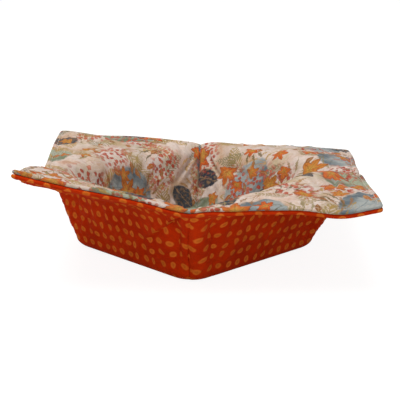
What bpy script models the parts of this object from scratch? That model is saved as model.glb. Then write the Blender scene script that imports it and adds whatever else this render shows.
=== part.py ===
"""Microwave bowl cozy: a padded cotton holder for a hot soup bowl.

Two squares of quilting cotton, each backed by its own square of batting and taken
in by a dart in the middle of every side, are sewn together round the rim, turned
through and topstitched. The darts stand on the X and Y axes and make the corners
of the base. The corners of the cloth squares flare out between them as four ears.

Metres, +Z up. The origin is under the middle of the base, on the table.
"""

import math

import bmesh
import bpy
from mathutils import Vector

MM = 0.001
COLLECTION_NAME = "microwave_bowl_cozy"

# Cutting pattern of both cloth squares, measured on the finished seam lines
PANEL_SIDE = 241.3 * MM
DART_LENGTH = 48.0 * MM
DART_HALF_WIDTH = 21.1 * MM
SEAM_ALLOWANCE = 6.0 * MM

# Cloth, batting and thread
FABRIC_THICKNESS = 0.4 * MM
PADDED_THICKNESS = 5.8 * MM
RIM_THICKNESS = 4.5 * MM
RIM_ROUNDING = 1.6 * MM
LAYER_GAP = 0.3 * MM
TOPSTITCH_INSET = 3.4 * MM
THREAD_DIAMETER = 0.5 * MM
DART_VALLEY_HALF_WIDTH = 1.5 * MM
DART_VALLEY_DEPTH = 1.2 * MM
DART_VALLEY_DEPTH_AT_RIM = 0.5 * MM

# How the sewn bowl stands
WALL_SLOPE = math.radians(68.5)
BASE_EDGE_ROLL = 3.5 * MM
CORNER_RADIUS_AT_BASE = 11.0 * MM
CORNER_RADIUS_AT_RIM = 7.0 * MM
FOLD_LENGTH_MIDDLE = 25.0 * MM
FOLD_LENGTH_AT_DART = 14.6 * MM
FOLD_REACH_AT_DART = 45.6 * MM
RISE_AT_DART = math.radians(14)
QUILTED_LENGTH_SHARE = 0.95
DART_ZONE_SHARE = 0.25
TIP_BLUNTNESS_SHARE = 0.02

# How far each dart's top has settled from the even shape
SETTLING_UNIT = PANEL_SIDE / 100
DART_SETTLING = {
    "front": Vector((0, 1, 0.9)) * SETTLING_UNIT,
    "right": Vector((1.2, -0.1, -0.3)) * SETTLING_UNIT,
    "back": Vector((1, 0.2, -0.7)) * SETTLING_UNIT,
    "left": Vector((2.6, 0.4, 1.2)) * SETTLING_UNIT,
}

# Each wall between two darts, counterclockwise, with its ear: the wall's bearing, how far
# up its middle the ear's fold lies, how steeply the ear rises past that fold, and how far
# the ear's tip has settled
WALLS = {
    "front_right": {
        "darts": ("front", "right"),
        "bearing": math.radians(-45),
        "fold_reach": 49.5 * MM,
        "rise": math.radians(3.7),
        "tip_settling": Vector((1.9, 0.7, -1.2)) * SETTLING_UNIT,
    },
    "back_right": {
        "darts": ("right", "back"),
        "bearing": math.radians(45),
        "fold_reach": 47.5 * MM,
        "rise": math.radians(-1.4),
        "tip_settling": Vector((4.3, -1.1, -1.9)) * SETTLING_UNIT,
    },
    "back_left": {
        "darts": ("back", "left"),
        "bearing": math.radians(135),
        "fold_reach": 43.0 * MM,
        "rise": math.radians(8),
        "tip_settling": Vector((0.5, -1, 0.1)) * SETTLING_UNIT,
    },
    "front_left": {
        "darts": ("left", "front"),
        "bearing": math.radians(225),
        "fold_reach": 43.3 * MM,
        "rise": math.radians(18.8),
        "tip_settling": Vector((1, 1.2, 1.1)) * SETTLING_UNIT,
    },
}

# Flat sizes of one wall, worked out from the pattern: "reach" runs from the base's edge
# up the wall to the ear's tip, and "side" runs along the base's edge
HALF_SIDE = PANEL_SIDE / 2
ROOT2 = math.sqrt(2)
BASE_HALF_WIDTH = (HALF_SIDE - DART_LENGTH) / ROOT2
DART_TOP_REACH = (HALF_SIDE + DART_HALF_WIDTH) / ROOT2 - BASE_HALF_WIDTH
DART_TOP_SIDE = (HALF_SIDE - DART_HALF_WIDTH) / ROOT2
DART_SPLAY = (DART_TOP_SIDE - BASE_HALF_WIDTH) / DART_TOP_REACH
TIP_REACH = HALF_SIDE * ROOT2 - BASE_HALF_WIDTH

# Distances of the layers' faces from the padded cloth's middle surface
HALF_PADDED = PADDED_THICKNESS / 2
HALF_RIM = RIM_THICKNESS / 2
MEETING_FACE = LAYER_GAP / 2
ALLOWANCE_BACK = MEETING_FACE + FABRIC_THICKNESS
BATTING_SETBACK = FABRIC_THICKNESS + LAYER_GAP

# Where the loft has its columns, as shares of the way from a wall's middle to its dart
VALLEY_SHOULDER = 1 - DART_VALLEY_HALF_WIDTH / DART_TOP_SIDE
HALF_COLUMNS = (TIP_BLUNTNESS_SHARE, 0.45, 0.78, 0.9, VALLEY_SHOULDER)
COLUMN_SHARES = [-share for share in reversed(HALF_COLUMNS)] + list(HALF_COLUMNS) + [1]
EDGE_ROW_SHARES = (-1, -0.4, 0, 0.4, 1)
WALL_ROW_SHARES = (0.22, 0.42, 0.6, 0.78)
RIM_TURNS = [math.radians(angle) for angle in (90, 50, 10)]
PROFILE_STEPS = 40
DIFFERENCE_SHARE = 0.002
SHARP_ANGLE = math.radians(50)


def mix(a, b, share):
    return a + (b - a) * share


def smooth(share):
    share = min(1.0, max(0.0, share))
    return share * share * (3 - 2 * share)


def seam_side(reach):
    """Flat distance from a wall's middle line to its dart seam."""
    if reach < 0:
        return BASE_HALF_WIDTH + reach
    return BASE_HALF_WIDTH + min(reach, DART_TOP_REACH) * DART_SPLAY


def profile(reach, dart_share, fold_reach, rise):
    """Outward and upward distance from the base's edge, bent without stretch."""
    fold_length = mix(FOLD_LENGTH_MIDDLE, FOLD_LENGTH_AT_DART, dart_share**2)
    fold_start = mix(fold_reach, FOLD_REACH_AT_DART, dart_share**2) - fold_length / 2
    step = (reach + BASE_EDGE_ROLL) / PROFILE_STEPS
    outward, upward = -BASE_EDGE_ROLL, 0.0
    for index in range(PROFILE_STEPS):
        middle = (index + 0.5) * step - BASE_EDGE_ROLL
        standing = smooth((middle + BASE_EDGE_ROLL) / (2 * BASE_EDGE_ROLL))
        folded = smooth((middle - fold_start) / fold_length)
        slope = mix(WALL_SLOPE * standing, rise, folded)
        length = step * mix(1, QUILTED_LENGTH_SHARE, standing)
        outward += math.cos(slope) * length
        upward += math.sin(slope) * length
    return outward, upward


def settling(wall, share, reach):
    """How far this point has moved with its darts and its ear's tip."""
    first, second = (DART_SETTLING[name] for name in wall["darts"])
    with_darts = mix(first, second, (1 + share) / 2) * smooth(reach / DART_TOP_REACH)
    ear_share = smooth((reach - DART_TOP_REACH) / (TIP_REACH - DART_TOP_REACH))
    return mix(with_darts, wall["tip_settling"], ear_share)


def surface_place(wall, side, reach):
    """Where a flat point of a wall lies on the padded cloth's middle surface."""
    share = side / seam_side(reach)
    dart_share = abs(share)
    rise = mix(wall["rise"], RISE_AT_DART, smooth((dart_share - 1) / DART_ZONE_SHARE + 1))
    outward, upward = profile(reach, dart_share, wall["fold_reach"], rise)
    seam_reach = min(reach, DART_TOP_REACH)
    seam_outward, _ = profile(seam_reach, 1, FOLD_REACH_AT_DART, RISE_AT_DART)
    out = BASE_HALF_WIDTH + outward
    along = dart_share * (BASE_HALF_WIDTH + seam_outward)

    # In plan the wall is straight, with an arc at each end that meets the next wall's
    radius = mix(CORNER_RADIUS_AT_BASE, CORNER_RADIUS_AT_RIM, smooth(reach / DART_TOP_REACH))
    straight = out - radius
    along *= (straight + radius * math.pi / 4) / out
    if along > straight:
        turn = (along - straight) / radius
        along = straight + radius * math.sin(turn)
        out = straight + radius * math.cos(turn)
    along = math.copysign(along, share)

    cosine, sine = math.cos(wall["bearing"]), math.sin(wall["bearing"])
    place = Vector((out * cosine - along * sine, out * sine + along * cosine, upward))
    return place + Vector((0, 0, HALF_PADDED)) + settling(wall, share, reach)


def row_place(wall, share, row):
    """The middle surface on a loft row, given by its reach at the darts and at the tip."""
    dart_reach, tip_reach = row
    from_tip = math.hypot(share, TIP_BLUNTNESS_SHARE) / math.hypot(1, TIP_BLUNTNESS_SHARE)
    reach = mix(tip_reach, dart_reach, from_tip)
    return surface_place(wall, share * seam_side(dart_reach), reach)


def surface_normal(wall, share, row):
    """Unit normal of the middle surface, towards the inside of the bowl."""
    step = DIFFERENCE_SHARE
    low, high = max(-1, share - step), min(1, share + step)
    along = row_place(wall, high, row) - row_place(wall, low, row)
    below = [reach - step * TIP_REACH for reach in row]
    above = [reach + step * TIP_REACH for reach in row]
    up = row_place(wall, share, above) - row_place(wall, share, below)
    return up.cross(along).normalized()


def ring(row, offset, valley=0.0):
    """Points round the bowl at one row, set off the middle surface towards the inside.

    At the darts they are set off by less, so that each dart seam lies in a valley.
    """
    points = []
    walls = list(WALLS.values())
    for wall, next_wall in zip(walls, walls[1:] + walls[:1]):
        for share in COLUMN_SHARES:
            place = row_place(wall, share, row)
            normal = surface_normal(wall, share, row)
            distance = offset
            if share == 1:
                normal = (normal + surface_normal(next_wall, -1, row)).normalized()
                distance -= math.copysign(valley, offset)
            points.append(place + normal * distance)
    return points


def inset_row(inset):
    """The row that runs this far inside the rim's seam line."""
    return (DART_TOP_REACH - inset * ROOT2, TIP_REACH - inset * ROOT2)


def body_rows():
    """Rows of the loft from the flat base over its edge and up the walls."""
    edge = [(share * BASE_EDGE_ROLL, share * BASE_EDGE_ROLL) for share in EDGE_ROW_SHARES]
    top = inset_row(SEAM_ALLOWANCE + BATTING_SETBACK)
    walls = [
        tuple(mix(BASE_EDGE_ROLL, reach, share) for reach in top)
        for share in WALL_ROW_SHARES + (1,)
    ]
    return edge + walls


def body_section(offset):
    """Section of one face from the base up, with its dart valleys starting at the base."""
    section = []
    for row in body_rows():
        valley = DART_VALLEY_DEPTH * smooth(row[0] / (2 * BASE_EDGE_ROLL))
        section.append((row, offset, valley))
    return section


def rim_arc(set_in, turn):
    """A point on the rounded rim, at this turn from the rim's edge to its face."""
    inset = set_in + (RIM_ROUNDING - set_in) * (1 - math.cos(turn))
    height = ALLOWANCE_BACK + (HALF_RIM - set_in - ALLOWANCE_BACK) * math.sin(turn)
    return inset_row(inset), height, DART_VALLEY_DEPTH_AT_RIM * math.sin(turn)


def cloth_section():
    """Right side of the cloth from the base to the rim and along its turned-in seam
    allowance, then its wrong side back to the base."""
    at_stitches = inset_row(TOPSTITCH_INSET)
    rim_valley = DART_VALLEY_DEPTH_AT_RIM
    section = body_section(HALF_PADDED)
    section.append((at_stitches, HALF_RIM, rim_valley))
    section += [rim_arc(0.0, turn) for turn in RIM_TURNS]
    allowance = [inset_row(inset) for inset in (RIM_ROUNDING, TOPSTITCH_INSET, SEAM_ALLOWANCE)]
    section.append((inset_row(0.0), MEETING_FACE, 0.0))
    section += [(row, MEETING_FACE, 0.0) for row in allowance]
    section += [(row, ALLOWANCE_BACK, 0.0) for row in reversed(allowance)]
    section.append((inset_row(FABRIC_THICKNESS), ALLOWANCE_BACK, 0.0))
    section += [rim_arc(FABRIC_THICKNESS, turn) for turn in reversed(RIM_TURNS)]
    section.append((at_stitches, HALF_RIM - FABRIC_THICKNESS, rim_valley))
    section += reversed(body_section(HALF_PADDED - FABRIC_THICKNESS))
    return section


def batting_section():
    """Face of the batting against its cloth, then its face against the other batting,
    which steps back to leave room for the seam allowance."""
    end = inset_row(RIM_ROUNDING + LAYER_GAP)
    at_stitches = inset_row(TOPSTITCH_INSET)
    rim_valley = DART_VALLEY_DEPTH_AT_RIM
    allowance_clear = ALLOWANCE_BACK + LAYER_GAP
    step_row = inset_row(SEAM_ALLOWANCE + LAYER_GAP)
    section = body_section(HALF_PADDED - BATTING_SETBACK)
    section.append((at_stitches, HALF_RIM - BATTING_SETBACK, rim_valley))
    section.append((end, HALF_RIM - BATTING_SETBACK, rim_valley))
    section.append((end, allowance_clear, 0.0))
    section.append((at_stitches, allowance_clear, 0.0))
    section.append((step_row, allowance_clear, 0.0))
    section += [(row, MEETING_FACE, 0.0) for row in reversed(body_rows())]
    return section


def make_material(name, color, roughness):
    material = bpy.data.materials.new(name)
    material.use_nodes = True
    shader = material.node_tree.nodes["Principled BSDF"]
    shader.inputs["Base Color"].default_value = (*color, 1)
    shader.inputs["Roughness"].default_value = roughness
    shader.inputs["Metallic"].default_value = 0.0
    material.diffuse_color = (*color, 1)
    return material


def add_object(name, data, material, collection):
    data.materials.append(material)
    part = bpy.data.objects.new(name, data)
    collection.objects.link(part)
    return part


def add_layer(name, section, side, material, collection):
    """Loft one sewn layer: side is 1 for the lining's half and -1 for the cover's."""
    mesh = bmesh.new()
    rings = []
    for row, offset, valley in section:
        points = ring(row, side * offset, valley)
        rings.append([mesh.verts.new(point) for point in points])
    columns = len(rings[0])
    for index in range(len(rings) - 1):
        lower, upper = rings[index], rings[index + 1]
        if section[index + 1][0][0] < section[index][0][0]:
            lower, upper = upper, lower
        for column in range(columns):
            following = (column + 1) % columns
            corners = [lower[column], lower[following], upper[following], upper[column]]
            if following % len(COLUMN_SHARES) < len(HALF_COLUMNS):
                corners = corners[1:] + corners[:1]
            mesh.faces.new(corners[:3])
            mesh.faces.new(corners[2:] + corners[:1])
    mesh.faces.new(rings[0])
    mesh.faces.new(rings[-1])
    bmesh.ops.recalc_face_normals(mesh, faces=mesh.faces)
    data = bpy.data.meshes.new(name)
    mesh.to_mesh(data)
    mesh.free()
    data.shade_smooth()
    data.set_sharp_from_angle(angle=SHARP_ANGLE)
    return add_object(name, data, material, collection)


def add_topstitch(name, side, material, collection):
    """The line of thread that lies on one face of the rim, just inside its edge."""
    height = HALF_RIM + LAYER_GAP + THREAD_DIAMETER / 2
    points = ring(inset_row(TOPSTITCH_INSET), side * height, DART_VALLEY_DEPTH_AT_RIM)
    curve = bpy.data.curves.new(name, "CURVE")
    curve.dimensions = "3D"
    curve.bevel_depth = THREAD_DIAMETER / 2
    curve.bevel_resolution = 1
    spline = curve.splines.new("POLY")
    spline.points.add(len(points) - 1)
    spline.use_cyclic_u = True
    for spline_point, point in zip(spline.points, points):
        spline_point.co = (*point, 1)
    return add_object(name, curve, material, collection)


def main():
    for old in list(bpy.data.objects):
        bpy.data.objects.remove(old)
    collection = bpy.data.collections.new(COLLECTION_NAME)
    bpy.context.scene.collection.children.link(collection)

    orange_cotton = make_material("orange_cotton", (0.27, 0.026, 0.004), 0.9)
    printed_cotton = make_material("printed_cotton", (0.5, 0.4, 0.32), 0.9)
    white_batting = make_material("white_batting", (0.8, 0.79, 0.76), 1.0)
    orange_thread = make_material("orange_thread", (0.3, 0.035, 0.006), 0.6)
    cream_thread = make_material("cream_thread", (0.6, 0.5, 0.4), 0.6)

    add_layer("outer_cover", cloth_section(), -1, orange_cotton, collection)
    add_layer("outer_batting", batting_section(), -1, white_batting, collection)
    add_layer("lining_batting", batting_section(), 1, white_batting, collection)
    add_layer("lining", cloth_section(), 1, printed_cotton, collection)
    add_topstitch("topstitch_outside", -1, orange_thread, collection)
    add_topstitch("topstitch_inside", 1, cream_thread, collection)


main()
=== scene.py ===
"""Looks of the microwave bowl cozy: its two cotton cloths, their folds and prints, and
the padding and topstitching that hold them together.

Every piece follows the shape of the sewn bowl in part.py, row by row from the middle of
the base to the rim. A short cloth simulation adds the wrinkles of the cloths. The
materials are laid out on the flat cutting pattern.
"""

import math
from functools import partial

import bpy
import numpy as np
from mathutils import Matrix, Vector


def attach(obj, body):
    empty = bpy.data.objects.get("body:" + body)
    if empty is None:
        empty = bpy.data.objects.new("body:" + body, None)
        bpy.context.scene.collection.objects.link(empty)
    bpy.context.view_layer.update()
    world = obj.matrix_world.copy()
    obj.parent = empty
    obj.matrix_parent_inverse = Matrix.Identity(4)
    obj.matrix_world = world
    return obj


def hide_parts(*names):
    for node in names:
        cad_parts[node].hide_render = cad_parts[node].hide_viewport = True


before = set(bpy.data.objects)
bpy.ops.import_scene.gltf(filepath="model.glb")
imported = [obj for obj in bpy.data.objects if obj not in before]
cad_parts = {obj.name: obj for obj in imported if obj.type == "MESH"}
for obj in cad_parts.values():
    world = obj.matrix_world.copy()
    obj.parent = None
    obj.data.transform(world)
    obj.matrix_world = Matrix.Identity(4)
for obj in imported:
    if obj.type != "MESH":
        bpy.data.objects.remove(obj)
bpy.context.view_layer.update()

MM = 0.001
ROOT2 = math.sqrt(2)

# The bowl's pattern and the way it stands, as in part.py
PANEL_SIDE = 241.3 * MM
DART_LENGTH = 48.0 * MM
DART_HALF_WIDTH = 21.1 * MM
PADDED_THICKNESS = 5.8 * MM
RIM_ROUNDING = 1.6 * MM
LAYER_GAP = 0.3 * MM
TOPSTITCH_INSET = 3.4 * MM
WALL_SLOPE = math.radians(68.5)
BASE_EDGE_ROLL = 3.5 * MM
CORNER_RADIUS_AT_BASE = 11.0 * MM
CORNER_RADIUS_AT_RIM = 7.0 * MM
FOLD_LENGTH_MIDDLE = 25.0 * MM
FOLD_LENGTH_AT_DART = 14.6 * MM
FOLD_REACH_AT_DART = 45.6 * MM
RISE_AT_DART = math.radians(14)
QUILTED_LENGTH_SHARE = 0.95
DART_ZONE_SHARE = 0.25
TIP_BLUNTNESS_SHARE = 0.02
ROUNDEST_SHARE = 0.3
PROFILE_STEPS = 40
SETTLING_UNIT = PANEL_SIDE / 100
DART_SETTLING = {
    "front": (0, 1, 0.9),
    "right": (1.2, -0.1, -0.3),
    "back": (1, 0.2, -0.7),
    "left": (2.6, 0.4, 1.2),
}
WALLS = {
    "front_right": (("front", "right"), -45, 3.7, 49.5 * MM, (1.9, 0.7, -1.2)),
    "back_right": (("right", "back"), 45, -1.4, 47.5 * MM, (4.3, -1.1, -1.9)),
    "back_left": (("back", "left"), 135, 8, 43.0 * MM, (0.5, -1, 0.1)),
    "front_left": (("left", "front"), 225, 18.8, 43.3 * MM, (1, 1.2, 1.1)),
}
WALL_NAMES = list(WALLS)

# Where the ears have settled higher or lower: wall, side, reach, half sizes and height, in mm
SWELLS = (
    ("front_right", 24, 55, 28, 11, 4.2),
    ("front_right", -16, 102, 17, 15, -3.4),
    ("front_left", -6, 97, 18, 16, -2.1),
    ("back_left", -18, 100, 15, 14, -2.0),
    ("back_left", 20, 52, 26, 12, 1.5),
    ("back_right", -25, 58, 24, 12, 1.8),
)

# Folds in the walls: wall, start and end as side and reach, width and depth, in mm
COVER_CREASES = (
    ("front_left", (70, 50), (20, 17), 2.6, 2.5),
    ("front_left", (28, 9), (50, 17), 1.8, 0.5),
    ("back_right", (-66, 47), (-28, 20), 2.4, 1.5),
    ("back_left", (64, 45), (36, 26), 2.2, 1.2),
)
WALL_HOLLOWS = (
    ("front_left", (57, 41), (44, -2), 7.0, 4.4),
    ("front_right", (-58, 46), (-36, -2), 6.0, 2.2),
    ("back_right", (-60, 46), (-38, 0), 6.0, 0.9),
    ("back_left", (60, 46), (38, 0), 6.0, 0.8),
)
LINING_CREASES = (
    ("back_left", (-62, 42), (-34, 20), 1.8, 1.0),
    ("back_right", (60, 44), (38, 26), 1.8, 1.0),
    ("front_right", (30, 62), (8, 84), 2.2, 1.2),
    ("front_right", (44, 60), (30, 78), 2.0, 0.9),
)

# Waves of the whole padded cloth: size in mm, random seed, height in mm. Waves and swells
# are full this far up a wall and this far from a dart seam.
WAVES = ((38, 3, 1.1), (19, 4, 0.45))
WAVES_START = 30 * MM
WAVES_BAND = 25 * MM
WAVES_AT_SEAM = 0.15
SWELLS_BAND = 12 * MM

# Random bumps: the size of their table, where in it they start, how far in metres one
# wall's bumps lie from the next one's, and each cloth's first random seed
NOISE_TABLE = 64
NOISE_START = 17
NOISE_SHIFT = 0.31
COVER_SEED = 20
LINING_SEED = 40

# A fold: the shares of its length over which it fades in and out, then the width of a
# sharp one's step, and its lip, hollow and groove as shares of its depth
FOLD_FADES = (0.3, 0.45)
FOLD_STEP_WIDTH = 1.0 * MM
FOLD_LIP = 0.7
FOLD_HOLLOW = 0.8
FOLD_GROOVE = 0.9
FOLD_GROOVE_WIDTH = 0.9 * MM

# Height of a cloth's right side over the middle surface, by distance inside the rim, in mm.
# It dips at the topstitching.
FACE_PROFILE = ((1.5, 2.35), (2.4, 2.25), (3.4, 1.65), (4.4, 2.25), (7, 2.8), (12, 2.95))

# Relief of a cloth's right side, which is full this far up a wall and inside the rim: the
# valleys at the dart seams, then puckers as size and depth, and lines as place and width
WALL_START = 9 * MM
RIM_BAND = 8 * MM
VALLEY_START = 5 * MM
VALLEY_WIDTH = 1.0 * MM
VALLEY_DEPTH = 2.1 * MM
VALLEY_DEPTH_AT_RIM = 0.6 * MM
CALM_AT_SEAM = 5 * MM
PUCKERS = (7 * MM, 0.28 * MM)
FINE_PUCKERS = (3.4 * MM, 0.09 * MM)
RIM_PUCKERS = (4.2 * MM, 0.45 * MM)
RIM_LINE = (5.5 * MM, 3 * MM)
DART_LINE = (6 * MM, 5 * MM)
DART_LOFT = 0.7 * MM
DART_LOFT_SIZE = 30 * MM
BASE_LINE = (3 * MM, 2.5 * MM)
BASE_LOFT = 0.7 * MM
COVER_PUCKERING = 1.2
LINING_PUCKERING = 1.3
THINNEST_PADDING = 0.8 * MM

# Columns of a wall, and how many more there are at a dart, beside it and at an ear's tip,
# each with its width as a share of the half wall
CLOTH_COLUMNS = 120
COLUMN_SAMPLES = 2001
MORE_AT_DART = (3.6, 0.035)
MORE_BESIDE_DART = (1.5, 0.17)
BESIDE_DART = 0.15
MORE_AT_TIP = (1.4, 0.09)

# Rows on the base, over its edge and up a wall as far as an inset, in a narrow band inside
# the rim, and round it. One flat face closes the middle of the base.
MIDDLE_HALF_WIDTH = 1.5 * MM
BASE_ROWS = 15
EDGE_ROWS = 18
WALL_ROWS = 92
LAST_WALL_INSET = 7.5 * MM
BAND_INSETS = np.arange(7.1, 1.7, -0.3) * MM
ROLL_ROWS = 15
SHORTEST_STEP = 1e-9

# Where a cloth rolls round the rim and turns in: the angles of the roll, its height and
# its middle's, the share of a wall over which its way out turns at the tip, and the
# turned-in rows
ROLL_TURNS = np.radians(np.linspace(90, -52, ROLL_ROWS))
ROLL_HEIGHT = 2.4 * MM
ROLL_MIDDLE = 1.15 * MM
TIP_TURN_SHARE = 0.03
ALLOWANCE_INSETS = (1.6 * MM, 3.4 * MM, 6.0 * MM)

# The cloth simulation: its grid is coarser and ten times as large. The cloth is held
# within these distances of the rim, the base and the seams, and softly to its padding
# elsewhere. It grows a little and moves by no more than the limit.
HELD_AT_RIM = 5 * MM
HELD_AT_BASE = 2 * MM
HELD_AT_SEAM = 0.6 * MM
SEAM_START = 4 * MM
SETTLING_START = 1 * MM
SETTLING_SCALE = 10
SETTLING_STEP = 3
SETTLING_FIRST_ROW = 6
SETTLING_ROWS_LEFT = 8
SETTLING_QUALITY = 6
SETTLING_FRAMES = 24
SETTLING_HOLD = 0.5
SETTLING_PIN = 1.0
SETTLING_BEND = 0.6
SETTLING_GROWTH = 0.035
SETTLING_LIMIT = 0.8 * MM

# Wadding, on a coarser grid under its cloth, and the stitches of the topstitching
WADDING_STEPS = (3, 2)
WADDING_ROWS_LEFT = 12
WADDING_CLEARANCE = 0.8 * MM
THINNEST_WADDING = 0.1 * MM
STITCH_PITCH = 3.0 * MM
STITCH_LENGTH = 2.6 * MM
STITCH_RINGS = 8
THREAD_RADIUS = 0.17 * MM
THREAD_END_SHARE = 0.25
THREAD_SIDES = 6
THREAD_SINK = 0.6
THREAD_BEND = 0.55

# Print of the cover and weave of both cloths, in mm
DOT_PITCH = (10.4, 10.8)
DOT_HALF_SIZE = (2.2, 1.75)
WEAVE_PITCH = 0.42

# The camera of the photo, and the light round the bowl
CAMERA_DISTANCE = 0.613
CAMERA_ELEVATION = math.radians(17.3)
CAMERA_TURN = math.radians(1.3)
CAMERA_AIM_RIGHT = 3.6 * MM
CAMERA_AIM_UP = 28.2 * MM
LENS_LENGTH = 87.4
SENSOR_WIDTH = 36
WORLD_STRENGTH = 0.44
FLOOR_HALF_SIDE = 6

HALF_SIDE = PANEL_SIDE / 2
BASE_HALF_WIDTH = (HALF_SIDE - DART_LENGTH) / ROOT2
DART_TOP_REACH = (HALF_SIDE + DART_HALF_WIDTH) / ROOT2 - BASE_HALF_WIDTH
DART_TOP_SIDE = (HALF_SIDE - DART_HALF_WIDTH) / ROOT2
DART_SPLAY = (DART_TOP_SIDE - BASE_HALF_WIDTH) / DART_TOP_REACH
TIP_REACH = HALF_SIDE * ROOT2 - BASE_HALF_WIDTH
HALF_PADDED = PADDED_THICKNESS / 2
MEETING_FACE = LAYER_GAP / 2


def mix(a, b, share):
    return a + (b - a) * share


def smooth(share):
    share = np.clip(share, 0, 1)
    return share * share * (3 - 2 * share)


def bump(distance, width):
    return np.exp(-((distance / width) ** 2))


def seam_side(reach):
    """Flat distance from a wall's middle line to its dart seam."""
    on_wall = np.minimum(reach, DART_TOP_REACH) * DART_SPLAY
    return BASE_HALF_WIDTH + np.where(reach < 0, reach, on_wall)


def profile(reach, dart_share, fold_reach, rise):
    """Outward and upward distance from the base's edge, bent without stretch."""
    fold_length = mix(FOLD_LENGTH_MIDDLE, FOLD_LENGTH_AT_DART, dart_share**2)
    fold_reach = mix(fold_reach, FOLD_REACH_AT_DART, dart_share**2)
    fold_start = fold_reach - fold_length / 2
    step = (reach + BASE_EDGE_ROLL) / PROFILE_STEPS
    outward, upward = -BASE_EDGE_ROLL, 0.0
    for index in range(PROFILE_STEPS):
        middle = (index + 0.5) * step - BASE_EDGE_ROLL
        standing = smooth((middle + BASE_EDGE_ROLL) / (2 * BASE_EDGE_ROLL))
        folded = smooth((middle - fold_start) / fold_length)
        slope = mix(WALL_SLOPE * standing, rise, folded)
        length = step * mix(1, QUILTED_LENGTH_SHARE, standing)
        outward = outward + np.cos(slope) * length
        upward = upward + np.sin(slope) * length
    return outward, upward


def wall_surface(name, share, dart_reach, tip_reach):
    """Middle surface of one padded wall over rows and columns, and its flat coordinates."""
    darts, bearing, rise, fold_reach, tip_settling = WALLS[name]
    bearing, rise = math.radians(bearing), math.radians(rise)
    share = share[None, :]
    from_tip = np.hypot(share, TIP_BLUNTNESS_SHARE) / math.hypot(1, TIP_BLUNTNESS_SHARE)
    reach = mix(tip_reach[:, None], dart_reach[:, None], from_tip)
    side = share * seam_side(dart_reach)[:, None]
    seam_share = side / seam_side(reach)
    dart_share = np.abs(seam_share)
    rising = mix(rise, RISE_AT_DART, smooth((dart_share - 1) / DART_ZONE_SHARE + 1))
    outward, upward = profile(reach, dart_share, fold_reach, rising)
    seam_reach = np.minimum(reach, DART_TOP_REACH)
    seam_outward, _ = profile(seam_reach, 1, FOLD_REACH_AT_DART, RISE_AT_DART)
    out = BASE_HALF_WIDTH + outward
    along = dart_share * (BASE_HALF_WIDTH + seam_outward)
    radius = mix(CORNER_RADIUS_AT_BASE, CORNER_RADIUS_AT_RIM, smooth(reach / DART_TOP_REACH))
    radius = np.minimum(radius, ROUNDEST_SHARE * out)
    straight = out - radius
    along = along * (straight + radius * math.pi / 4) / out
    turn = np.maximum(0, along - straight) / radius
    out = np.where(turn > 0, straight + radius * np.cos(turn), out)
    along = np.where(turn > 0, straight + radius * np.sin(turn), along)
    along = np.copysign(along, seam_share)
    cosine, sine = math.cos(bearing), math.sin(bearing)
    place = np.stack(
        [out * cosine - along * sine, out * sine + along * cosine, upward + HALF_PADDED], -1
    )
    first, second = (np.array(DART_SETTLING[dart]) * SETTLING_UNIT for dart in darts)
    settled = mix(first, second, ((1 + seam_share) / 2)[..., None])
    settled = settled * smooth(reach / DART_TOP_REACH)[..., None]
    ear_share = smooth((reach - DART_TOP_REACH) / (TIP_REACH - DART_TOP_REACH))
    place = place + mix(settled, np.array(tip_settling) * SETTLING_UNIT, ear_share[..., None])
    out, along = BASE_HALF_WIDTH + reach, side
    flat = np.stack([out * cosine - along * sine, out * sine + along * cosine], -1)
    return place, side, reach, flat


def column_shares(count):
    """Columns of one wall, closer together at its darts and at its ear's tip."""
    along = np.linspace(-1, 1, COLUMN_SAMPLES)
    from_dart = 1 - np.abs(along)
    more, width = MORE_AT_DART
    density = 1 + more * np.exp(-from_dart / width)
    more, width = MORE_BESIDE_DART
    density += more * bump(from_dart - BESIDE_DART, width)
    more, width = MORE_AT_TIP
    density += more * bump(along, width)
    total = np.concatenate([[0], np.cumsum((density[1:] + density[:-1]) / 2)])
    return np.interp(np.linspace(0, total[-1], count + 1), total, along)


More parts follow.
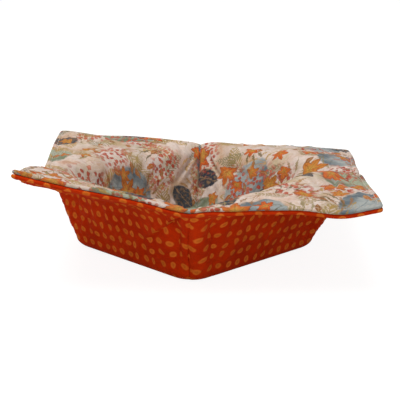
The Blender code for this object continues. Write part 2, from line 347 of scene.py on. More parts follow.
class Bowl:
    """The padded cloth's middle surface on a grid of rows and columns round the bowl."""

    def __init__(self, rows, columns):
        self.rows = np.array(rows)
        self.wall_share = column_shares(columns)
        walls = [
            wall_surface(name, self.wall_share, self.rows[:, 0], self.rows[:, 1])
            for name in WALL_NAMES
        ]
        self.place, self.side, self.reach = (
            np.concatenate([wall[part][:, :-1] for wall in walls], 1) for part in range(3)
        )
        self.flat = np.stack([wall[3] for wall in walls], 1)
        self.wall = np.repeat(np.arange(len(walls)), columns)[None, :]
        self.inset = (TIP_REACH - self.reach - np.abs(self.side)) / ROOT2
        self.from_seam = seam_side(self.reach) - np.abs(self.side)
        self.place += self.normals() * (self.waves() + self.swells())[..., None]
        self.normal = self.normals()

    def normals(self):
        """Unit normals of the middle surface, towards the inside of the bowl."""
        along = np.roll(self.place, -1, 1) - np.roll(self.place, 1, 1)
        up = np.gradient(self.place, axis=0)
        up[np.gradient(self.rows[:, 1]) < 0] *= -1
        still = np.linalg.norm(up, axis=-1) < SHORTEST_STEP
        normal = np.cross(up, along)
        for row in range(1, len(normal)):
            normal[row][still[row]] = normal[row - 1][still[row]]
        return normal / np.linalg.norm(normal, axis=-1)[..., None]

    def on(self, name):
        return self.wall == WALL_NAMES.index(name)

    def noise(self, size, seed):
        return noise(self.side + self.wall * NOISE_SHIFT, self.reach, size, seed)

    def puckers(self, size_and_depth, seed):
        size, depth = size_and_depth
        return self.noise(size, seed) * depth

    def waves(self):
        """How far the whole padded cloth waves, towards the inside of the bowl."""
        free = smooth(self.from_seam / WAVES_BAND + WAVES_AT_SEAM)
        wave = sum(self.noise(size * MM, seed) * height * MM for size, seed, height in WAVES)
        return wave * (smooth(self.reach / WAVES_START) * free)

    def swells(self):
        """Where an ear or the wall below it has settled higher or lower than the rest."""
        total = np.zeros_like(self.reach)
        for wall, side, reach, half_side, half_reach, height in SWELLS:
            across = (self.side / MM - side) / half_side
            up = (self.reach / MM - reach) / half_reach
            total += self.on(wall) * np.exp(-(across**2) - up**2) * height * MM
        total *= smooth(self.from_seam / SWELLS_BAND)
        # A hollow outside moves the cloth towards the inside
        for hollow in WALL_HOLLOWS:
            total -= fold(self, *hollow, sharp=False)
        return total


def noise(x, y, size, seed):
    """Smooth random bumps of about this size, from -1 to 1."""
    count = NOISE_TABLE
    table = np.random.default_rng(seed).uniform(-1, 1, (count, count))
    x, y = x / size + NOISE_START, y / size + NOISE_START
    column, row = np.floor(x).astype(int), np.floor(y).astype(int)
    u, v = smooth(x - column), smooth(y - row)
    column, right, row, above = column % count, (column + 1) % count, row % count, (row + 1) % count
    low = mix(table[row, column], table[row, right], u)
    high = mix(table[above, column], table[above, right], u)
    return mix(low, high, v)


def inset_row(inset):
    """The row that runs this far inside the rim's seam line."""
    return (DART_TOP_REACH - inset * ROOT2, TIP_REACH - inset * ROOT2)


def body_rows():
    """Rows from the middle of the base, over its edge and up the walls and ears."""
    base = np.linspace(-BASE_HALF_WIDTH + MIDDLE_HALF_WIDTH, -BASE_EDGE_ROLL, BASE_ROWS, False)
    edge = np.linspace(-BASE_EDGE_ROLL, BASE_EDGE_ROLL, EDGE_ROWS, False)
    rows = [(reach, reach) for reach in np.concatenate([base, edge])]
    top = inset_row(LAST_WALL_INSET)
    for share in np.linspace(0, 1, WALL_ROWS):
        rows.append(tuple(mix(BASE_EDGE_ROLL, reach, share) for reach in top))
    return rows


def fold(bowl, wall, start, end, width, depth, sharp=True):
    """A fold from start to end on a wall, which fades out at both: a step from a lip down
    over a groove into a hollow, or a soft valley."""
    start, end = np.array(start) * MM, np.array(end) * MM
    run = end - start
    length = np.linalg.norm(run)
    x, y = bowl.side - start[0], bowl.reach - start[1]
    along = (x * run[0] + y * run[1]) / length
    across = (x * run[1] - y * run[0]) / length
    fade_in, fade_out = FOLD_FADES
    fade = smooth(along / (fade_in * length)) * smooth((length - along) / (fade_out * length))
    if sharp:
        above = smooth(across / FOLD_STEP_WIDTH + 0.5)
        lip = FOLD_LIP * np.exp(-np.abs(across) / (width * MM))
        hollow = (1 - above) * FOLD_HOLLOW * np.exp(-np.abs(across) / (3 * width * MM))
        shape = above * lip - hollow
        shape = shape - FOLD_GROOVE * bump(across + FOLD_GROOVE_WIDTH, FOLD_GROOVE_WIDTH)
    else:
        shape = -bump(across, width * MM)
    return bowl.on(wall) * fade * shape * depth * MM


def cloth_rows():
    """Rows from the middle of the base to the rim and into the groove of its seam, with
    the cloth's height over the middle surface where it rounds the rim, and the rows that
    its turned-in allowance follows."""
    body = body_rows() + [inset_row(inset) for inset in BAND_INSETS]
    rows = [(row, None) for row in body]
    for turn in ROLL_TURNS:
        inset = RIM_ROUNDING * (1 - math.cos(turn))
        height = ROLL_MIDDLE + (ROLL_HEIGHT - ROLL_MIDDLE) * math.sin(turn)
        rows.append((inset_row(inset), max(height, MEETING_FACE)))
    reach = np.array([tip_reach for _, tip_reach in body])
    allowance = [len(rows) - 1]
    for inset in ALLOWANCE_INSETS:
        allowance.append(int(np.argmin(np.abs(reach - inset_row(inset)[1]))))
    return rows, allowance


def line(distance, place_and_width):
    place, width = place_and_width
    return bump(distance - place, width)


def face_relief(bowl, is_cover):
    """Height of a cloth's right side over the bowl's middle surface."""
    insets, heights = np.array(FACE_PROFILE).T * MM
    height = np.interp(bowl.inset, insets, heights)
    on_wall = smooth(bowl.reach / WALL_START)
    inside = smooth((bowl.inset - TOPSTITCH_INSET) / RIM_BAND)
    from_seam = np.maximum(bowl.from_seam, 0)
    off_seam = 1 - np.exp(-from_seam / CALM_AT_SEAM)
    valley = np.exp(-from_seam / VALLEY_WIDTH) * smooth(bowl.reach / VALLEY_START)
    height = height - valley * mix(VALLEY_DEPTH_AT_RIM, VALLEY_DEPTH, inside)
    seed = COVER_SEED if is_cover else LINING_SEED
    puckers = bowl.puckers(PUCKERS, seed) + bowl.puckers(FINE_PUCKERS, seed + 1)
    height = height + line(bowl.inset, RIM_LINE) * on_wall * bowl.puckers(RIM_PUCKERS, seed + 2)
    by_dart = on_wall * inside * (0.6 + 0.4 * bowl.noise(DART_LOFT_SIZE, seed + 3))
    height = height + by_dart * line(from_seam, DART_LINE) * DART_LOFT
    if is_cover:
        height = height + line(bowl.reach, BASE_LINE) * BASE_LOFT
        height = height + on_wall * off_seam * inside * puckers * COVER_PUCKERING
        creases = COVER_CREASES
    else:
        # The lining is puckered on the base too, half as deep
        share = mix(0.5, 1, on_wall)
        height = height + share * off_seam * inside * puckers * LINING_PUCKERING
        creases = LINING_CREASES
    for crease in creases:
        height = height + fold(bowl, *crease) * inside
    return height


def grid_faces(count, columns, side):
    """Point numbers of a grid that goes round the bowl, and the faces between them."""
    number = np.arange(count * columns).reshape(count, columns)
    nexts = np.roll(number, -1, 1)
    faces = np.stack([number[:-1], nexts[:-1], nexts[1:], number[1:]], -1).reshape(-1, 4)
    return number, faces[:, ::-1] if side < 0 else faces


def simulate(start, faces, held):
    """Where a cloth that has grown a little comes to rest: the held points stay, and the
    others are softly drawn back to where they were. It leaves no object behind."""
    scene = bpy.context.scene
    mesh = bpy.data.meshes.new("settling")
    mesh.from_pydata(start.reshape(-1, 3) * SETTLING_SCALE, [], faces.tolist())
    cloth = bpy.data.objects.new("settling", mesh)
    scene.collection.objects.link(cloth)
    group = cloth.vertex_groups.new(name="held")
    group.add(np.flatnonzero(~held).tolist(), SETTLING_HOLD, "REPLACE")
    group.add(np.flatnonzero(held).tolist(), 1.0, "REPLACE")
    modifier = cloth.modifiers.new("settling", "CLOTH")
    settings = modifier.settings
    settings.quality = SETTLING_QUALITY
    settings.vertex_group_mass = "held"
    settings.shrink_min = -SETTLING_GROWTH
    settings.bending_stiffness = SETTLING_BEND
    settings.pin_stiffness = SETTLING_PIN
    settings.effector_weights.gravity = 0
    modifier.point_cache.frame_end = SETTLING_FRAMES
    for moment in range(1, SETTLING_FRAMES + 1):
        scene.frame_set(moment)
    settled = cloth.evaluated_get(bpy.context.evaluated_depsgraph_get()).data
    places = np.empty(start.size, dtype=np.float32)
    settled.vertices.foreach_get("co", places)
    scene.frame_set(1)
    bpy.data.objects.remove(cloth)
    return places.reshape(start.shape) / SETTLING_SCALE


def settle(bowl, heights, side):
    """How far a cloth lifts off or sinks into its padding, from a cloth simulation on a
    coarse grid: its seams, rim and base are held, and it wrinkles between them."""
    around = len(WALLS) * CLOTH_COLUMNS
    rows = np.arange(SETTLING_FIRST_ROW, BEFORE_ROLL - SETTLING_ROWS_LEFT, SETTLING_STEP)
    columns = np.arange(0, around, SETTLING_STEP)
    pick = np.ix_(rows, columns)
    normal = bowl.normal[pick] * side
    start = bowl.place[pick] + normal * heights[pick][..., None]
    held = (bowl.inset[pick] < HELD_AT_RIM) | (bowl.reach[pick] < HELD_AT_BASE)
    held |= (bowl.from_seam[pick] < HELD_AT_SEAM) & (bowl.reach[pick] > SEAM_START)
    _, faces = grid_faces(*held.shape, side)
    lift = ((simulate(start, faces, held) - start) * normal).sum(-1)
    lift = SETTLING_LIMIT * np.tanh(lift / SETTLING_LIMIT)
    lift = np.concatenate([lift, lift[:, :1]], 1)
    at_columns = np.append(columns, around)
    fine = np.array([np.interp(np.arange(around), at_columns, row) for row in lift])
    at_rows = np.arange(len(CLOTH_ROWS))
    fine = np.stack([np.interp(at_rows, rows, column, 0, 0) for column in fine.T], 1)
    return fine * smooth((bowl.reach - SETTLING_START) / WALL_START)


def face_heights(bowl, side):
    """Height of a cloth's right side over the middle surface, once it has settled."""
    height = face_relief(bowl, side < 0)
    lift = settle(bowl, height, side)
    height = np.maximum(height + lift, THINNEST_PADDING)
    for index, (_, fixed) in enumerate(CLOTH_ROWS):
        if fixed is not None:
            height[index] = fixed
    return height


def roll_flat(bowl, heights):
    """Flat coordinates whose last rows go on past the seam line, as far as the cloth does
    where it rolls round the rim."""
    inset, height = bowl.inset[BEFORE_ROLL:, 0], heights[BEFORE_ROLL:, 0]
    step = np.hypot(np.diff(inset, prepend=inset[0]), np.diff(height, prepend=height[0]))
    extra = (np.cumsum(step) - (inset[0] - inset))[:, None] / ROOT2
    flat = bowl.flat.copy()
    for index, name in enumerate(WALL_NAMES):
        bearing = math.radians(WALLS[name][1])
        out = np.array([math.cos(bearing), math.sin(bearing)])
        along = np.array([-out[1], out[0]])
        towards = np.clip(bowl.wall_share / TIP_TURN_SHARE, -1, 1)[None, :, None] * along + out
        flat[BEFORE_ROLL:, index] += extra[..., None] * towards
    return flat


def make_mesh(name, points, faces):
    mesh = bpy.data.meshes.new(name)
    mesh.from_pydata(points.reshape(-1, 3), [], faces)
    mesh.shade_smooth()
    return mesh


def add_piece(name, mesh):
    piece = bpy.data.objects.new(name, mesh)
    bpy.context.scene.collection.objects.link(piece)
    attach(piece, "root")
    return piece


def add_cloth(name, bowl, heights, side):
    """One cloth: side is 1 for the lining, on the bowl's inside, and -1 for the cover. Its
    middle is one flat face, and its last rows are the turned-in seam allowance."""
    face = bowl.place + bowl.normal * (side * heights)[..., None]
    face[..., 2] = np.maximum(face[..., 2], 0)
    turned_in = bowl.place[ALLOWANCE] + bowl.normal[ALLOWANCE] * (side * MEETING_FACE)
    points = np.concatenate([face, turned_in])
    flat = roll_flat(bowl, heights)
    flat = np.concatenate([flat, flat[ALLOWANCE]])
    number, faces = grid_faces(*points.shape[:2], side)
    corners = [flat[:-1, :, :-1], flat[:-1, :, 1:], flat[1:, :, 1:], flat[1:, :, :-1]]
    corner_flat = np.stack(corners, 3).reshape(-1, 4, 2)[:, ::side]
    middle, middle_flat = number[0][::-side], flat[0, :, :-1].reshape(-1, 2)[::-side]
    mesh = make_mesh(name, points, faces.tolist() + [middle.tolist()])
    layer = mesh.uv_layers.new(name="flat")
    places = np.concatenate([corner_flat.reshape(-1, 2), middle_flat]) / PANEL_SIDE + 0.5
    layer.data.foreach_set("uv", places.astype(np.float32).ravel())
    return add_piece(name, mesh)


def add_wadding(name, bowl, heights, side):
    """The layer of batting under a cloth, closed, and clear of every crease above it."""
    last = BEFORE_ROLL - WADDING_ROWS_LEFT
    lowest = heights[:last]
    for shift in (-2, -1, 1, 2):
        lowest = np.minimum(lowest, np.roll(heights[:last], shift, 1))
        lowest[2:-2] = np.minimum(lowest[2:-2], heights[2 + shift : last - 2 + shift])
    top = np.maximum(lowest - WADDING_CLEARANCE, MEETING_FACE + THINNEST_WADDING)
    row_step, column_step = WADDING_STEPS
    top, place, normal = (
        values[:last:row_step, ::column_step] for values in (top, bowl.place, bowl.normal)
    )
    face = place + normal * (side * top)[..., None]
    back = place + normal * side * MEETING_FACE
    rings = np.concatenate([face, back[::-1]])
    number, faces = grid_faces(*rings.shape[:2], side)
    ends = [number[0][::-side].tolist(), number[-1][::side].tolist()]
    return add_piece(name, make_mesh(name, rings, faces.tolist() + ends))


def add_stitches(name, bowl, heights, side):
    """Topstitching round the rim: short stitches of thread that dip into the cloth."""
    row = int(np.argmin(np.abs(bowl.inset[:, 0] - TOPSTITCH_INSET) + (bowl.reach[:, 0] < 0)))
    normal = bowl.normal[row] * side
    line = bowl.place[row] + normal * heights[row][:, None]
    line, normal = np.vstack([line, line[:1]]), np.vstack([normal, normal[:1]])
    length = np.concatenate([[0], np.cumsum(np.linalg.norm(np.diff(line, axis=0), axis=1))])
    count = round(length[-1] / STITCH_PITCH)
    start = np.arange(count)[:, None] * length[-1] / count
    share = np.linspace(0, 1, STITCH_RINGS)
    along = start + share[None, :] * STITCH_LENGTH

    def at(values):
        columns = [np.interp(along, length, values[:, axis]) for axis in range(3)]
        return np.stack(columns, -1)

    middle, up = at(line), at(normal)
    forward = np.gradient(middle, axis=1)
    forward /= np.linalg.norm(forward, axis=-1)[..., None]
    sideways = np.cross(forward, up)
    bend = np.sin(share * math.pi) ** 0.5
    middle = middle + up * ((bend - THREAD_SINK) * THREAD_BEND * THREAD_RADIUS)[None, :, None]
    radius = THREAD_RADIUS * np.maximum(bend, THREAD_END_SHARE)
    angle = (np.arange(THREAD_SIDES) * math.pi / (THREAD_SIDES / 2))[:, None]
    ring = np.cos(angle) * up[..., None, :] + np.sin(angle) * sideways[..., None, :]
    points = middle[:, :, None] + ring * radius[None, :, None, None]
    number = np.arange(points[..., 0].size).reshape(points.shape[:3])
    nexts = np.roll(number, -1, 2)
    faces = np.stack([number[:, :-1], number[:, 1:], nexts[:, 1:], nexts[:, :-1]], -1)
    ends = np.concatenate([number[:, 0], number[:, -1, ::-1]])
    return add_piece(name, make_mesh(name, points, faces.reshape(-1, 4).tolist() + ends.tolist()))


CLOTH_ROWS, ALLOWANCE = cloth_rows()
BEFORE_ROLL = len(CLOTH_ROWS) - ROLL_ROWS

bowl = Bowl([row for row, _ in CLOTH_ROWS], CLOTH_COLUMNS)
cover_heights = face_heights(bowl, -1)
lining_heights = face_heights(bowl, 1)
cover = add_cloth("cover_cloth", bowl, cover_heights, -1)
lining = add_cloth("lining_cloth", bowl, lining_heights, 1)
cover_wadding = add_wadding("cover_wadding", bowl, cover_heights, -1)
lining_wadding = add_wadding("lining_wadding", bowl, lining_heights, 1)
cover_stitches = add_stitches("cover_stitches", bowl, cover_heights, -1)
lining_stitches = add_stitches("lining_stitches", bowl, lining_heights, 1)


def is_socket(value):
    return isinstance(value, bpy.types.NodeSocket)


def node(kind, inputs=None, tree=None, **settings):
    """Adds a shader node with its inputs linked or set, to their own tree or a given one."""
    inputs = inputs or {}
    tree = tree or next(value.id_data for value in inputs.values() if is_socket(value))
    made = tree.nodes.new("ShaderNode" + kind)
    for name, value in settings.items():
        setattr(made, name, value)
    for key, value in inputs.items():
        if is_socket(value):
            tree.links.new(value, made.inputs[key])
        else:
            made.inputs[key].default_value = value
    return made


def calculate(operation, *values):
    return node("Math", dict(enumerate(values)), operation=operation).outputs[0]


absolute = partial(calculate, "ABSOLUTE")
add = partial(calculate, "ADD")
arctan2 = partial(calculate, "ARCTAN2")
divide = partial(calculate, "DIVIDE")
larger = partial(calculate, "MAXIMUM")
smaller = partial(calculate, "MINIMUM")
times = partial(calculate, "MULTIPLY")
times_add = partial(calculate, "MULTIPLY_ADD")
pingpong = partial(calculate, "PINGPONG")
sine = partial(calculate, "SINE")
subtract = partial(calculate, "SUBTRACT")


def vector(operation, *values):
    return node("VectorMath", dict(enumerate(values)), operation=operation).outputs[0]


def scaled(value, factor):
    """A vector or a colour times a factor."""
    return node("VectorMath", {0: value, "Scale": factor}, operation="SCALE").outputs[0]


def remap(value, low, high, to_low=0.0, to_high=1.0):
    inputs = {"Value": value, "From Min": low, "From Max": high}
    inputs |= {"To Min": to_low, "To Max": to_high}
    return node("MapRange", inputs, interpolation_type="SMOOTHSTEP").outputs[0]


def blend(share, first, second):
    first, second = (color if is_socket(color) else (*color, 1) for color in (first, second))
    inputs = {0: share, 6: first, 7: second}
    return node("Mix", inputs, data_type="RGBA", blend_type="MIX").outputs[2]


def tinge(color, tint, value, low, high, strength=1.0):
    """The colour with a tint at this strength where the value reaches high, none at low."""
    return blend(remap(value, low, high, 0.0, strength), color, tint)


def clouds(place, size, detail, seed):
    """Soft noise of about this size in mm, from 0 to 1."""
    moved = vector("ADD", place, (seed * 13.7, seed * 7.3, seed * 3.1))
    inputs = {"Vector": moved, "Scale": 1 / size, "Detail": detail}
    return node("TexNoise", inputs).outputs["Fac"]


def flat_place(tree):
    """Place on the flat cutting pattern, in mm."""
    flat = node("UVMap", tree=tree, uv_map="flat").outputs[0]
    side = PANEL_SIDE / MM
    return vector("MULTIPLY", flat, (side, side, side))


def turned(local, angle):
    """The two coordinates of a place, turned by an angle."""
    local = node("VectorRotate", {0: local, "Angle": angle}, rotation_type="Z_AXIS")
    return node("SeparateXYZ", {0: local.outputs[0]}).outputs[:2]


def scatter(place, cell, seed, randomness):
    """Motifs scattered over the cloth: where this point lies within its motif, in mm,
    and three random numbers of the motif."""
    moved = vector("ADD", place, (seed * 37.3, seed * 91.1, 0.0))
    inputs = {"Vector": moved, "Scale": 1 / cell, "Randomness": randomness}
    cells = node("TexVoronoi", inputs, voronoi_dimensions="2D")
    local = vector("SUBTRACT", moved, cells.outputs["Position"])
    chance = node("SeparateXYZ", {0: cells.outputs["Color"]}).outputs
    x, y = turned(local, times(chance[0], 2 * math.pi))
    return x, y, chance


def distance(x, y):
    squares = times(x, x), times(y, y)
    return calculate("SQRT", add(*squares))


def ellipse(x, y, half_length, half_width):
    """Below 1 within the ellipse."""
    x = divide(x, half_length)
    return distance(x, divide(y, half_width))


def leaf(x, y, half_length, half_width):
    """Below 1 within a leaf with two pointed ends."""
    x = divide(x, half_length)
    y = divide(absolute(y), half_width)
    return add(y, times(x, x))


def lobed_leaf(x, y, radius):
    """Below 1 within a leaf with five pointed lobes, and the distance from its veins."""
    angle = absolute(arctan2(y, x))
    longest, nearest = 0.0, 1.0
    for axis, width, length in ((0.0, 0.58, 1.0), (0.98, 0.56, 0.85), (1.98, 0.62, 0.6)):
        off_axis = subtract(angle, axis)
        vein = absolute(sine(off_axis))
        nearest = smaller(vein, nearest)
        away = absolute(off_axis)
        lobe = times_add(away, -length / width, length)
        longest = larger(lobe, longest)
    edge = times_add(longest, 0.62 * radius, 0.38 * radius)
    from_middle = distance(x, y)
    shape = divide(from_middle, edge)
    return shape, times(nearest, from_middle)


def frond(x, y, half_length, half_width, spacing):
    """Below 1 within a row of slanting leaflets along a stem."""
    across = absolute(y)
    slanted = times_add(across, -0.9, x)
    row = pingpong(slanted, spacing)
    place = subtract(row, spacing / 2)
    taper = divide(x, half_length)
    taper = subtract(1.0, times(taper, taper))
    half_leaflet = times(taper, half_width / 2)
    middle = subtract(across, half_leaflet)
    length = larger(half_leaflet, 0.01)
    leaflets = leaf(middle, place, length, spacing * 0.36)
    stem = divide(across, larger(taper, 0.001))
    stem = times(stem, 2.5)
    return smaller(leaflets, stem)


def within(value, softness, opacity=1.0):
    return remap(value, 1 + softness, 1 - softness, 0.0, opacity)


def chosen(chance, share):
    """1 for this share of the motifs."""
    return calculate("LESS_THAN", chance, share)


def lay(color, shade, shape, chance, share, softness, opacity=1.0):
    """The colour with a motif of this shade over it, in a share of the motif's places."""
    shown = within(shape, softness, opacity)
    shown = times(shown, chosen(chance[1], share))
    return blend(shown, color, shade)


def weave(place):
    """Height of the crossing threads of a plain weave."""
    axes = node("SeparateXYZ", {0: place})
    waves = [
        sine(times(axis, 2 * math.pi / WEAVE_PITCH))
        for axis in axes.outputs[:2]
    ]
    return times(*waves)


def new_material(name):
    material = bpy.data.materials.new(name)
    material.use_nodes = True
    tree = material.node_tree
    return material, tree, tree.nodes["Principled BSDF"]


def cotton(name, paint, roughness, sheen, sheen_tint):
    """Quilting cotton: its paint function gives the colour over the flat pattern."""
    material, tree, shader = new_material(name)
    place = flat_place(tree)
    threads = weave(place)
    slubs = clouds(vector("MULTIPLY", place, (0.35, 2.6, 1.0)), 2.2, 3.0, 5.0)
    # The colour is darker where the weave's threads dip and lighter where they rise, on the same heights
    # as the bump: painted shade between the threads. The slubs vary its tone at random.
    shade = remap(threads, -1.0, 1.0, 0.93, 1.05)
    shade = times(shade, remap(slubs, 0.3, 0.7, 0.95, 1.04))
    color = scaled(paint(place), shade)
    roughness = remap(slubs, 0.2, 0.8, roughness - 0.06, roughness + 0.06)
    tree.links.new(color, shader.inputs["Base Color"])
    tree.links.new(roughness, shader.inputs["Roughness"])
    shader.inputs["Sheen Weight"].default_value = sheen
    shader.inputs["Sheen Tint"].default_value = (*sheen_tint, 1)
    shader.inputs["Sheen Roughness"].default_value = 0.5
    shader.inputs["Specular IOR Level"].default_value = 0.05
    fine = {"Height": threads, "Distance": 0.05 * MM, "Strength": 0.6}
    creases = {"Height": clouds(place, 2.6, 3.0, 9.0), "Distance": 0.35 * MM, "Strength": 0.5}
    creases["Normal"] = node("Bump", fine).outputs[0]
    tree.links.new(node("Bump", creases).outputs[0], shader.inputs["Normal"])
    return material


def paint_dots(place):
    """Rust-orange ground, mottled, with mustard ovals in staggered rows."""
    patches = clouds(place, 16, 3.0, 1.0)
    color = tinge((0.45, 0.021, 0.0006), (0.53, 0.030, 0.0010), patches, 0.35, 0.65)
    color = tinge(color, (0.36, 0.016, 0.0006), clouds(place, 3.5, 4.0, 2.0), 0.35, 0.7, 0.3)
    wobble = node("TexNoise", {"Vector": place, "Scale": 0.5}).outputs["Color"]
    place = vector("ADD", place, scaled(wobble, 0.45))
    across, along = DOT_PITCH
    for shift in ((0.0, 0.0, 0.0), (across / 2, along / 2, 0.0)):
        squeezed = vector("DIVIDE", vector("ADD", place, shift), (across, along, 1.0))
        inputs = {"Vector": squeezed, "Scale": 1.0, "Randomness": 0.13}
        cells = node("TexVoronoi", inputs, voronoi_dimensions="2D", distance="CHEBYCHEV")
        local = vector("SUBTRACT", squeezed, cells.outputs["Position"])
        local = vector("MULTIPLY", local, (across, along, 1.0))
        chance = node("SeparateXYZ", {0: cells.outputs["Color"]}).outputs
        x, y = turned(local, remap(chance[0], 0.0, 1.0, -1.0, 1.0))
        spot = ellipse(x, y, *DOT_HALF_SIZE)
        mustard = blend(chance[1], (0.60, 0.125, 0.012), (0.70, 0.165, 0.020))
        mustard = tinge(mustard, (0.47, 0.110, 0.010), spot, 0.6, 0.3, 0.6)
        color = blend(within(spot, 0.2, 0.92), color, mustard)
    return color


def paint_round_leaves(place, color):
    """Large round leaves, slate blue or sage, with a rib and a darker edge."""
    x, y, chance = scatter(place, 58, 2, 0.4)
    bent = times_add(times(x, x), 0.008, y)
    shape = ellipse(x, bent, 23, 17)
    shape = times_add(clouds(place, 9, 2.0, 6.0), 0.2, shape)
    is_sage = calculate("GREATER_THAN", chance[2], 0.68)
    light = blend(is_sage, (0.31, 0.345, 0.35), (0.33, 0.36, 0.26))
    dark = blend(is_sage, (0.115, 0.145, 0.17), (0.15, 0.18, 0.11))
    shade = tinge(light, dark, times_add(y, 0.04, shape), 0.45, 1.15)
    streaks = clouds(vector("MULTIPLY", place, (0.35, 1.3, 1.0)), 5, 4.0, 8.0)
    shade = tinge(shade, (0.42, 0.43, 0.40), streaks, 0.42, 0.7, 0.55)
    rib = sine(times(x, 0.16))
    rib = absolute(times_add(rib, 1.4, y))
    shade = tinge(shade, dark, rib, 0.7, 0.2, 0.5)
    side = times_add(absolute(y), -0.8, x)
    shade = tinge(shade, dark, pingpong(side, 3.4), 0.5, 0.1, 0.28)
    return lay(color, shade, shape, chance, 0.9, 0.05)


def paint_grasses(place, color):
    """Tufts of bent grasses with seed heads, ochre or olive."""
    for seed, cell, share, first, second in (
        (12, 33, 0.8, (0.42, 0.25, 0.06), (0.24, 0.20, 0.09)),
        (13, 36, 0.8, (0.50, 0.29, 0.10), (0.27, 0.13, 0.055)),
        (14, 29, 0.6, (0.25, 0.15, 0.04), (0.09, 0.08, 0.035)),
    ):
        x, y, chance = scatter(place, cell, seed, 0.8)
        x = add(x, 9.0)
        length = distance(x, y)
        angle = arctan2(y, x)
        bend = sine(times(length, 0.2))
        bent = times_add(bend, 0.14, angle)
        blade = sine(times(bent, 8.0))
        blade = times(absolute(blade), length)
        blade = times(blade, 1 / 8)
        from_head = absolute(subtract(length, 13.5))
        grain = remap(pingpong(length, 0.9), 0.0, 0.5, 0.4, 1.0)
        head = times(remap(from_head, 4.0, 1.0, 0.0, 0.75), grain)
        stroke = divide(blade, add(head, 0.22))
        fan = divide(absolute(angle), 0.62)
        reach = divide(length, 18.5)
        shape = larger(stroke, larger(fan, reach))
        shade = blend(chance[2], first, second)
        color = lay(color, shade, shape, chance, share, 0.25, 0.85)
    return color


def paint_sprigs(place, color):
    """Fine sprigs: faded tan under ochre and olive ones."""
    for seed, cell, length, width, spacing, share, strength, first, second in (
        (1, 19, 11, 5.0, 2.6, 0.85, 0.42, (0.50, 0.33, 0.19), (0.55, 0.40, 0.27)),
        (3, 24, 12, 6.5, 2.4, 0.55, 0.8, (0.42, 0.25, 0.05), (0.25, 0.20, 0.07)),
        (9, 27, 12, 5.0, 2.1, 0.45, 0.75, (0.17, 0.17, 0.09), (0.34, 0.22, 0.06)),
    ):
        x, y, chance = scatter(place, cell, seed, 0.7)
        bend = times(times(x, x), 0.022)
        shape = frond(x, add(y, bend), length, width, spacing)
        shade = blend(chance[2], first, second)
        color = lay(color, shade, shape, chance, share, 0.25, strength)
    return color


def paint_lobed_leaves(place, color):
    """Autumn leaves, mustard in the middle and rust at the tips, with darker veins."""
    for seed, cell, radius, share in ((4, 33, 11.5, 0.42), (5, 19, 7.0, 0.36)):
        x, y, chance = scatter(place, cell, seed, 0.7)
        shape, vein = lobed_leaf(x, y, radius)
        blotches = clouds(place, 3.2, 3.0, seed)
        warm = blend(chance[2], (0.56, 0.10, 0.022), (0.50, 0.21, 0.045))
        middle = remap(times_add(blotches, 0.9, shape), 0.55, 1.15, 0.95, 0.0)
        shade = blend(middle, warm, (0.50, 0.29, 0.06))
        shade = tinge(shade, (0.40, 0.055, 0.02), blotches, 0.5, 0.72, 0.6)
        shade = tinge(shade, (0.20, 0.06, 0.02), vein, 0.4, 0.12, 0.45)
        shade = tinge(shade, (0.12, 0.045, 0.025), shape, 0.84, 1.02, 0.75)
        color = lay(color, shade, shape, chance, share, 0.05)
    return color


def paint_berries(place, color):
    """Loose clusters of red berries."""
    x, y, chance = scatter(place, 40, 6, 0.8)
    cluster = within(ellipse(x, y, 18, 11), 0.4)
    cluster = times(cluster, chosen(chance[1], 0.95))
    x, y, chance = scatter(place, 3.2, 7, 0.9)
    spot = ellipse(x, y, 1.35, 1.2)
    red = blend(chance[2], (0.36, 0.045, 0.025), (0.52, 0.15, 0.09))
    red = tinge(red, (0.20, 0.03, 0.02), spot, 0.5, 1.0, 0.5)
    berry = times(within(spot, 0.2, 0.95), chosen(chance[1], 0.8))
    return blend(times(berry, cluster), color, red)


def paint_small_leaves(place, color):
    """Single leaves in rust, brown and navy, with a pale rib."""
    for seed, cell, length, width, share, first, second in (
        (8, 12, 4.2, 1.7, 0.3, (0.40, 0.13, 0.035), (0.24, 0.11, 0.045)),
        (10, 46, 12.5, 8.0, 0.6, (0.035, 0.04, 0.055), (0.06, 0.07, 0.085)),
    ):
        x, y, chance = scatter(place, cell, seed, 0.8)
        shape = leaf(x, y, length, width)
        shade = blend(chance[2], first, second)
        blotches = clouds(place, 2.5, 3.0, seed)
        shade = tinge(shade, (0.42, 0.24, 0.10), blotches, 0.45, 0.7, 0.5)
        rib = absolute(y)
        shade = tinge(shade, (0.48, 0.30, 0.16), rib, 0.35, 0.1, 0.6)
        color = lay(color, shade, shape, chance, share, 0.1)
    return color


def paint_autumn(place):
    """Cream ground with faint washes under leaves, berries and sprigs in watercolour."""
    wash = clouds(place, 30, 2.0, 3.0)
    color = tinge((0.65, 0.545, 0.495), (0.60, 0.515, 0.48), wash, 0.4, 0.65)
    for size, seed, low, strength, tint in (
        (12, 4, 0.50, 0.5, (0.62, 0.44, 0.34)),
        (17, 15, 0.49, 0.68, (0.45, 0.27, 0.14)),
        (15, 16, 0.51, 0.62, (0.39, 0.32, 0.16)),
        (11, 17, 0.58, 0.55, (0.40, 0.16, 0.09)),
    ):
        wash = clouds(place, size, 3.0, seed)
        color = tinge(color, tint, wash, low, low + 0.2, strength)
    ragged = node("TexNoise", {"Vector": place, "Scale": 0.45, "Detail": 4.0}).outputs["Color"]
    place = vector("ADD", place, scaled(ragged, 2.6))
    for paint in (
        paint_sprigs,
        paint_round_leaves,
        paint_small_leaves,
        paint_grasses,
        paint_berries,
        paint_lobed_leaves,
    ):
        color = paint(place, color)
    grain = remap(clouds(place, 1.6, 3.0, 11.0), 0.3, 0.7, 0.93, 1.04)
    return scaled(color, grain)


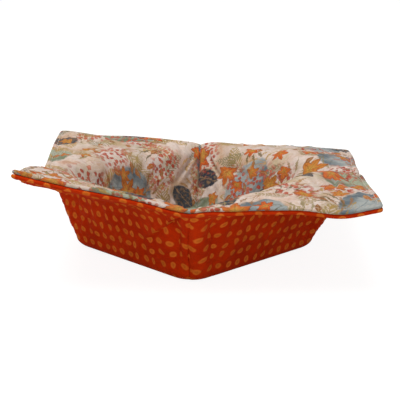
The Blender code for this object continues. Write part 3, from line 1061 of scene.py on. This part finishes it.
def thread(name, color):
    """Polyester thread, with the slant of its twist."""
    material, tree, shader = new_material(name)
    inputs = {"Vector": node("TexCoord", tree=tree).outputs["Object"], "Scale": 900.0, "Distortion": 1.0}
    twist = node("TexWave", inputs, bands_direction="DIAGONAL").outputs["Fac"]
    # Darker in the grooves of the twist, where its bump is low: painted shade.
    shaded = scaled(color, remap(twist, 0.0, 1.0, 0.75, 1.1))
    tree.links.new(shaded, shader.inputs["Base Color"])
    relief = node("Bump", {"Height": twist, "Distance": 0.05 * MM, "Strength": 0.5})
    tree.links.new(relief.outputs[0], shader.inputs["Normal"])
    shader.inputs["Roughness"].default_value = 0.55
    shader.inputs["Sheen Weight"].default_value = 0.1
    return material


def fleece(name):
    """Cotton batting: matted white fibres."""
    material, tree, shader = new_material(name)
    place = scaled(node("TexCoord", tree=tree).outputs["Object"], 1 / MM)
    fibres = clouds(place, 1.2, 6.0, 2.0)
    # Lighter where the fibres stand higher and darker in their hollows, on the same heights as the bump:
    # painted shade.
    color = tinge((0.70, 0.68, 0.62), (0.82, 0.81, 0.77), fibres, 0.3, 0.7)
    tree.links.new(color, shader.inputs["Base Color"])
    relief = node("Bump", {"Height": fibres, "Distance": 0.6 * MM, "Strength": 0.8})
    tree.links.new(relief.outputs[0], shader.inputs["Normal"])
    shader.inputs["Roughness"].default_value = 1.0
    return material


orange_cotton = cotton("orange_cotton", paint_dots, 0.88, 0.08, (1.0, 0.3, 0.08))
printed_cotton = cotton("printed_cotton", paint_autumn, 0.9, 0.08, (1.0, 0.95, 0.9))
white_fleece = fleece("white_fleece")
orange_thread = thread("orange_thread", (0.40, 0.05, 0.008))
cream_thread = thread("cream_thread", (0.62, 0.54, 0.46))
for piece, material, replaced, slot in (
    (cover, orange_cotton, "outer_cover", "orange_cotton"),
    (lining, printed_cotton, "lining", "printed_cotton"),
    (cover_wadding, white_fleece, "outer_batting", "batting"),
    (lining_wadding, white_fleece, "lining_batting", "batting"),
    (cover_stitches, orange_thread, "topstitch_outside", "orange_thread"),
    (lining_stitches, cream_thread, "topstitch_inside", "cream_thread"),
):
    piece.data.materials.append(material)
    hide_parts(replaced)


def ray_is_seen(tree):
    """1 for rays that the camera sees, straight, by reflection or through glass."""
    rays = node("LightPath", tree=tree).outputs
    seen = larger(rays["Is Camera Ray"], rays["Is Glossy Ray"])
    return larger(seen, rays["Is Transmission Ray"])


def make_world():
    world = bpy.data.worlds.new("studio")
    world.use_nodes = True
    bpy.context.scene.world = world
    tree = world.node_tree
    light = tree.nodes["Background"]
    light.inputs["Color"].default_value = (1.0, 0.97, 0.94, 1)
    light.inputs["Strength"].default_value = WORLD_STRENGTH
    white = node("Background", {"Color": (1, 1, 1, 1), "Strength": 1.0}, tree)
    both = node("MixShader", {0: ray_is_seen(tree), 1: light.outputs[0], 2: white.outputs[0]})
    tree.links.new(both.outputs[0], tree.nodes["World Output"].inputs[0])


def make_floor():
    """Pale floor that the camera sees nearly white, with the bowl's faint shadow."""
    side = FLOOR_HALF_SIDE
    mesh = bpy.data.meshes.new("floor")
    corners = [(-side, -side, 0), (side, -side, 0), (side, side, 0), (-side, side, 0)]
    mesh.from_pydata(corners, [], [(0, 1, 2, 3)])
    floor = bpy.data.objects.new("floor", mesh)
    bpy.context.scene.collection.objects.link(floor)
    material, tree, shader = new_material("pale_floor")
    shader.inputs["Base Color"].default_value = (0.62, 0.61, 0.60, 1)
    shader.inputs["Roughness"].default_value = 1.0
    shader.inputs["Specular IOR Level"].default_value = 0.0
    paper = node("BsdfDiffuse", {"Color": (0.22, 0.22, 0.22, 1)}, tree)
    glow = node("Emission", {"Color": (1, 1, 1, 1), "Strength": 0.9}, tree)
    white = node("AddShader", {0: paper.outputs[0], 1: glow.outputs[0]})
    both = node("MixShader", {0: ray_is_seen(tree), 1: shader.outputs[0], 2: white.outputs[0]})
    tree.links.new(both.outputs[0], tree.nodes["Material Output"].inputs[0])
    mesh.materials.append(material)


def add_lamp(name, place, size, power, color):
    """A square lamp that shines at the middle of the base."""
    lamp = bpy.data.lights.new(name, "AREA")
    lamp.size = size
    lamp.energy = power
    lamp.color = color
    lamp_object = bpy.data.objects.new(name, lamp)
    lamp_object.location = place
    lamp_object.rotation_euler = (-Vector(place)).to_track_quat("-Z", "Y").to_euler()
    bpy.context.scene.collection.objects.link(lamp_object)


def make_camera():
    """Camera that looks a little beside and above the middle of the base."""
    level = CAMERA_DISTANCE * math.cos(CAMERA_ELEVATION)
    height = CAMERA_DISTANCE * math.sin(CAMERA_ELEVATION)
    place = Vector((level * math.sin(CAMERA_TURN), -level * math.cos(CAMERA_TURN), height))
    towards = -place.normalized()
    right = towards.cross(Vector((0, 0, 1))).normalized()
    target = right * CAMERA_AIM_RIGHT + right.cross(towards) * CAMERA_AIM_UP
    data = bpy.data.cameras.new("camera")
    data.lens = LENS_LENGTH
    data.sensor_width = SENSOR_WIDTH
    camera = bpy.data.objects.new("camera", data)
    camera.location = place
    camera.rotation_euler = (target - place).to_track_quat("-Z", "Y").to_euler()
    bpy.context.scene.collection.objects.link(camera)
    bpy.context.scene.camera = camera


make_world()
make_floor()
add_lamp("key", (-0.35, -0.15, 1.7), 1.3, 25, (1.0, 0.97, 0.93))
add_lamp("fill", (-0.1, -1.7, 0.28), 0.8, 7, (1.0, 0.97, 0.93))
make_camera()
bpy.context.scene.view_settings.view_transform = "Standard"
